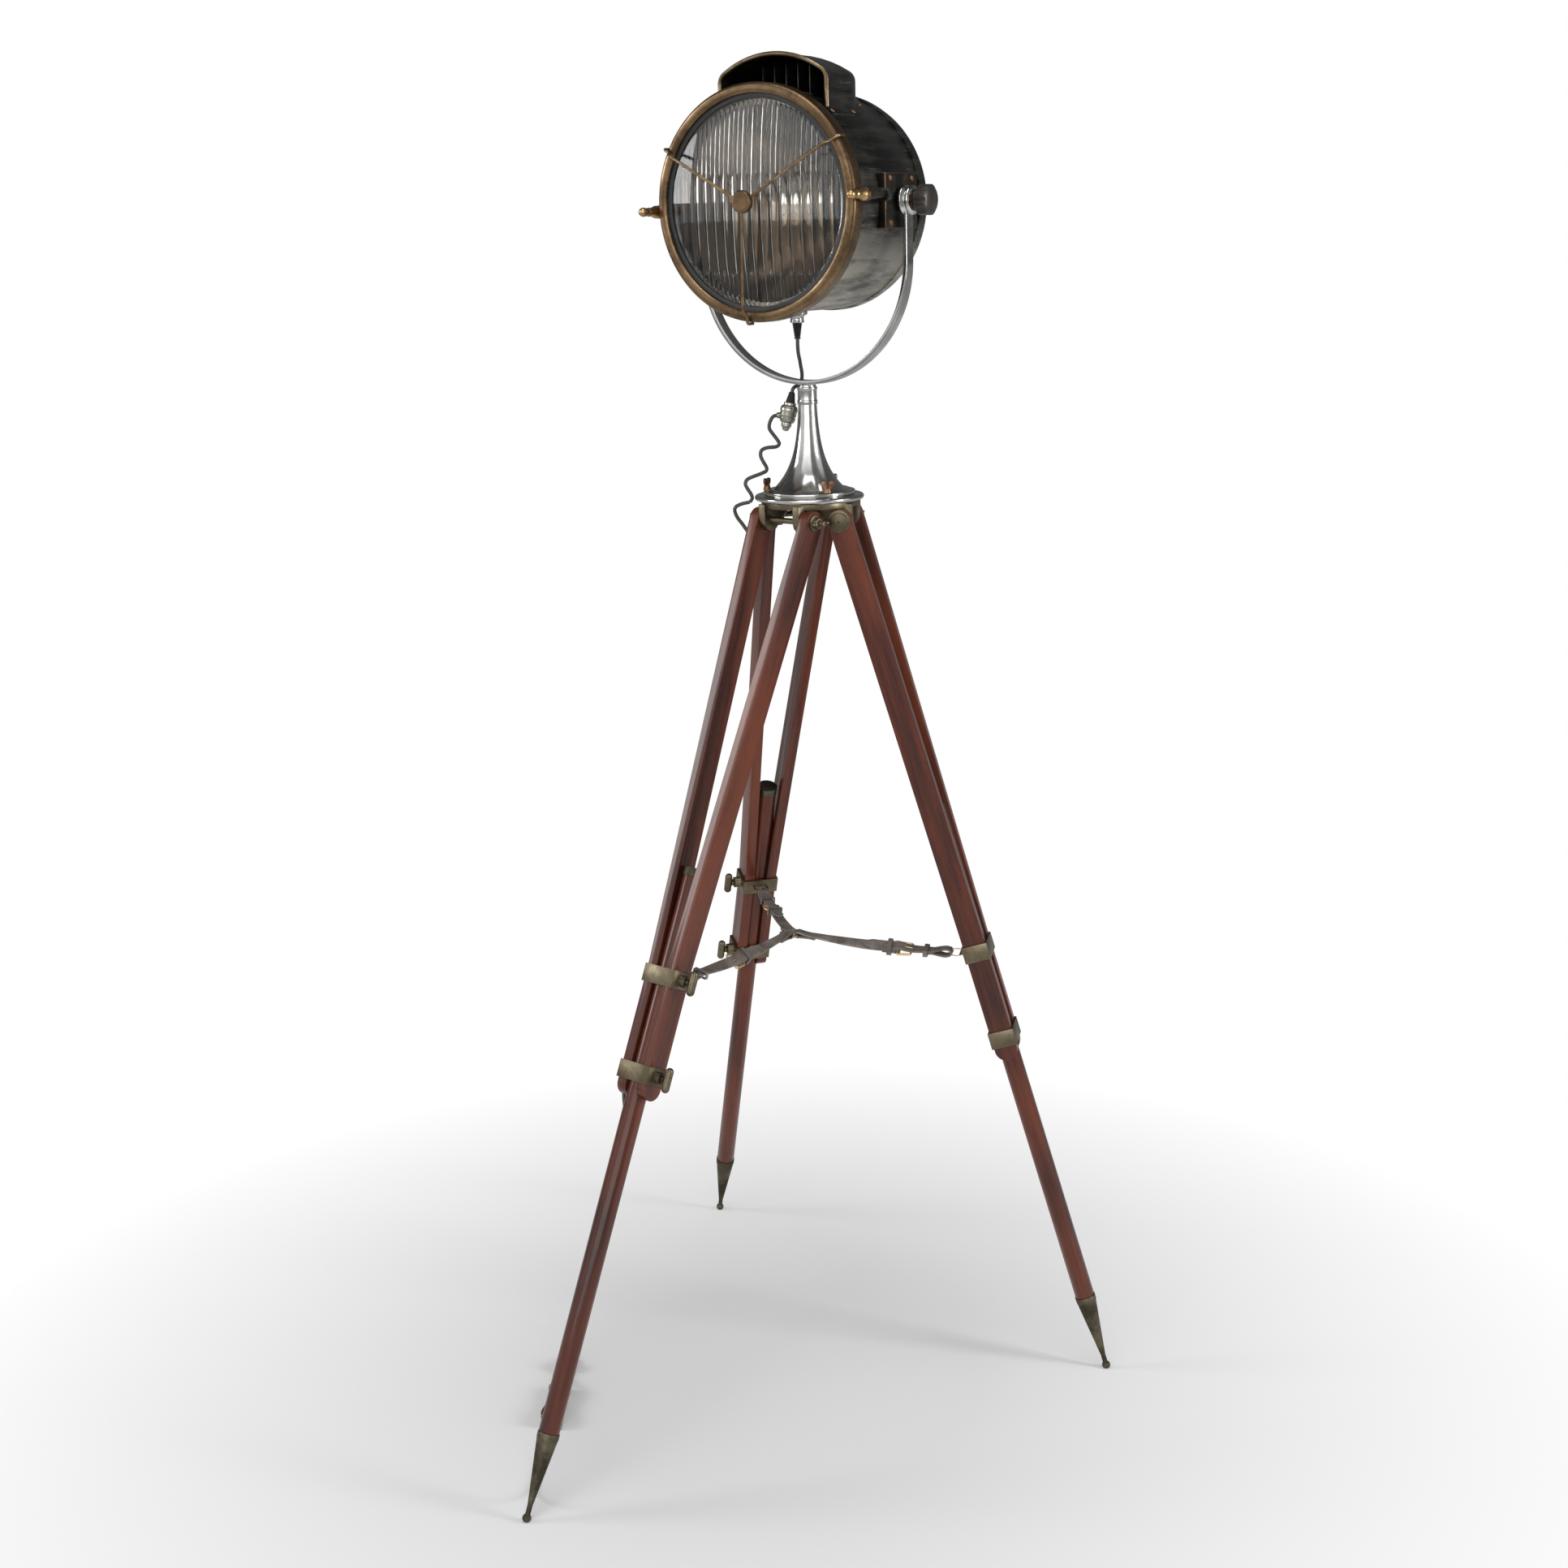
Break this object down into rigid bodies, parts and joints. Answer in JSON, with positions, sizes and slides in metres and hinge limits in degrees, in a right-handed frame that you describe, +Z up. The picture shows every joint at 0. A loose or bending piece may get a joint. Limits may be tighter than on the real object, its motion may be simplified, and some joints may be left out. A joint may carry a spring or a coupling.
{
  "type": "tripod spotlight floor lamp",
  "caption": "Round spotlight head with fluted glass in a chromed yoke, on a flared column and a folding wooden tripod with telescoping legs held by leather straps.",
  "frame": {"origin": "on the floor, at the middle of the box that holds the three feet", "axes": "+Z up, the lamp faces -Y, +X to the right as seen from the front"},
  "size_m": [0.8208, 0.954, 1.8585],
  "materials": {
    "chrome": "bright, lightly worn plating",
    "old_brass": "brown patina",
    "bezel_brass": "aged, satin",
    "bright_brass": "rubbed bright",
    "mahogany": "gloss varnish",
    "drum_black": "dark patina, semi-gloss",
    "dark_steel": "dark satin",
    "black_rubber": "matte",
    "knob_black": "semi-gloss",
    "nickel": "worn nickel",
    "mirror": "polished",
    "ceramic": "glazed white",
    "glass": "clear, fluted",
    "bulb_glass": "frosted",
    "leather": "dark, worn"
  },
  "bodies": {
    "base": {"tripod_plate": "chrome", "hinge_casting": "old_brass", "leg_axles": "old_brass", "column": "chrome", "strap_hardware": "bezel_brass", "left_strap": "leather", "right_strap": "leather", "back_strap": "leather", "mains_lead": "black_rubber"},
    "switch_button": {"switch_button": "nickel"},
    "wing_screw_1": {"plate_wing_screw_1": "bright_brass"},
    "wing_screw_2": {"plate_wing_screw_2": "bright_brass"},
    "wing_screw_3": {"plate_wing_screw_3": "bright_brass"},
    "axle_nut_left": {"axle_wing_nut_left": "old_brass"},
    "axle_nut_right": {"axle_wing_nut_right": "old_brass"},
    "axle_nut_back": {"axle_wing_nut_back": "old_brass"},
    "yoke": {"yoke": "chrome", "inline_switch": "nickel"},
    "head": {"drum": "drum_black", "rear_cover": "drum_black", "front_ring": "dark_steel", "bezel": "bezel_brass", "gasket": "black_rubber", "lens": "glass", "spoke_guard": "bezel_brass", "reflector": "mirror", "bulb": "bulb_glass", "lampholder": "ceramic", "inner_lead": "black_rubber", "vent_hood": "drum_black", "head_screws": "bezel_brass", "side_brackets": "dark_steel", "cable_gland": "chrome", "bezel_bolts": "dark_steel", "head_lead": "black_rubber"},
    "knob_left": {"yoke_knob_left": "knob_black"},
    "knob_right": {"yoke_knob_right": "knob_black"},
    "thumb_nut_left": {"bezel_thumb_nut_left": "bright_brass"},
    "thumb_nut_right": {"bezel_thumb_nut_right": "bright_brass"},
    "left_leg": {"left_rails": "mahogany", "left_rail_fittings": "old_brass", "leg_lead": "black_rubber"},
    "left_extension": {"left_pole": "mahogany", "left_ferrules": "old_brass", "lead_hank": "black_rubber", "plug": "black_rubber"},
    "left_clamp_upper": {"left_clamp_screw_upper": "old_brass"},
    "left_clamp_lower": {"left_clamp_screw_lower": "old_brass"},
    "right_leg": {"right_rails": "mahogany", "right_rail_fittings": "old_brass"},
    "right_extension": {"right_pole": "mahogany", "right_ferrules": "old_brass"},
    "right_clamp_upper": {"right_clamp_screw_upper": "old_brass"},
    "right_clamp_lower": {"right_clamp_screw_lower": "old_brass"},
    "back_leg": {"back_rails": "mahogany", "back_rail_fittings": "old_brass"},
    "back_extension": {"back_pole": "mahogany", "back_ferrules": "old_brass"},
    "back_clamp_upper": {"back_clamp_screw_upper": "old_brass"},
    "back_clamp_lower": {"back_clamp_screw_lower": "old_brass"}
  },
  "joints": [
    {"name": "pan", "type": "hinge", "parent": "base", "child": "yoke", "pos_m": [0.01603, 0.13052, 1.41], "axis": [0, 0, 1], "range_deg": [-90, 90], "deforming": ["mains_lead"]},
    {"name": "tilt", "type": "hinge", "parent": "yoke", "child": "head", "pos_m": [0.01603, 0.13052, 1.669], "axis": [1, 0, 0], "range_deg": [-30, 45], "deforming": ["head_lead"]},
    {"name": "left_leg_fold", "type": "hinge", "parent": "base", "child": "left_leg", "pos_m": [0.00821, 0.08114, 1.25], "axis": [0.9877, -0.1564, 0], "range_deg": [0, 21.2], "deforming": ["left_strap", "strap_hardware", "mains_lead"]},
    {"name": "right_leg_fold", "type": "hinge", "parent": "base", "child": "right_leg", "pos_m": [0.06271, 0.14844, 1.25], "axis": [-0.3584, 0.9336, 0], "range_deg": [0, 13.4], "deforming": ["right_strap", "strap_hardware"]},
    {"name": "back_leg_fold", "type": "hinge", "parent": "base", "child": "back_leg", "pos_m": [-0.02282, 0.16199, 1.25], "axis": [-0.6293, -0.7771, 0], "range_deg": [0, 18.5], "deforming": ["back_strap", "strap_hardware"]},
    {"name": "left_pole_slide", "type": "slide", "parent": "left_leg", "child": "left_extension", "axis": [-0.0641, -0.4046, -0.9122], "range_m": [-0.447, 0.01], "deforming": ["leg_lead"]},
    {"name": "right_pole_slide", "type": "slide", "parent": "right_leg", "child": "right_extension", "axis": [0.2633, 0.1011, -0.9594], "range_m": [-0.38, 0.077]},
    {"name": "back_pole_slide", "type": "slide", "parent": "back_leg", "child": "back_extension", "axis": [-0.2852, 0.2309, -0.9302], "range_m": [-0.421, 0.037]},
    {"name": "left_clamp_upper_turn", "type": "hinge", "parent": "left_leg", "child": "left_clamp_upper", "pos_m": [0.00683, -0.18327, 0.66799], "axis": [0.9877, -0.1564, 0], "continuous": true},
    {"name": "left_clamp_lower_turn", "type": "hinge", "parent": "left_leg", "child": "left_clamp_lower", "pos_m": [-0.00156, -0.23627, 0.54849], "axis": [0.9877, -0.1564, 0], "continuous": true},
    {"name": "right_clamp_upper_turn", "type": "hinge", "parent": "right_leg", "child": "right_clamp_upper", "pos_m": [0.21639, 0.25028, 0.63791], "axis": [-0.3584, 0.9336, 0], "continuous": true},
    {"name": "right_clamp_lower_turn", "type": "hinge", "parent": "right_leg", "child": "right_clamp_lower", "pos_m": [0.25089, 0.26352, 0.51223], "axis": [-0.3584, 0.9336, 0], "continuous": true},
    {"name": "back_clamp_upper_turn", "type": "hinge", "parent": "back_leg", "child": "back_clamp_upper", "pos_m": [-0.22993, 0.27822, 0.6565], "axis": [-0.6293, -0.7771, 0], "continuous": true},
    {"name": "back_clamp_lower_turn", "type": "hinge", "parent": "back_leg", "child": "back_clamp_lower", "pos_m": [-0.26728, 0.30847, 0.53464], "axis": [-0.6293, -0.7771, 0], "continuous": true},
    {"name": "axle_nut_left_turn", "type": "hinge", "parent": "base", "child": "axle_nut_left", "pos_m": [0.0655, 0.07206, 1.25], "axis": [0.9877, -0.1564, 0], "continuous": true},
    {"name": "axle_nut_right_turn", "type": "hinge", "parent": "base", "child": "axle_nut_right", "pos_m": [0.04193, 0.20259, 1.25], "axis": [-0.3584, 0.9336, 0], "continuous": true},
    {"name": "axle_nut_back_turn", "type": "hinge", "parent": "base", "child": "axle_nut_back", "pos_m": [-0.05933, 0.11691, 1.25], "axis": [-0.6293, -0.7771, 0], "continuous": true},
    {"name": "wing_screw_1_turn", "type": "hinge", "parent": "base", "child": "wing_screw_1", "pos_m": [-0.03565, 0.10419, 1.288], "axis": [0, 0, 1], "continuous": true},
    {"name": "wing_screw_2_turn", "type": "hinge", "parent": "base", "child": "wing_screw_2", "pos_m": [0.06468, 0.09893, 1.288], "axis": [0, 0, 1], "continuous": true},
    {"name": "wing_screw_3_turn", "type": "hinge", "parent": "base", "child": "wing_screw_3", "pos_m": [0.01907, 0.18844, 1.288], "axis": [0, 0, 1], "continuous": true},
    {"name": "knob_left_turn", "type": "hinge", "parent": "head", "child": "knob_left", "pos_m": [-0.16947, 0.13052, 1.669], "axis": [-1, 0, 0], "continuous": true},
    {"name": "knob_right_turn", "type": "hinge", "parent": "head", "child": "knob_right", "pos_m": [0.20153, 0.13052, 1.669], "axis": [1, 0, 0], "continuous": true},
    {"name": "thumb_nut_left_turn", "type": "hinge", "parent": "head", "child": "thumb_nut_left", "pos_m": [-0.14329, 0.00052, 1.66149], "axis": [0, -1, 0], "continuous": true},
    {"name": "thumb_nut_right_turn", "type": "hinge", "parent": "head", "child": "thumb_nut_right", "pos_m": [0.17536, 0.00052, 1.67651], "axis": [0, -1, 0], "continuous": true},
    {"name": "switch_press", "type": "slide", "parent": "yoke", "child": "switch_button", "axis": [0.1478, 0.1386, 0.9793], "range_m": [0, 0.0025], "stiffness_N_per_m": 400, "springref_m": -0.002}
  ]
}
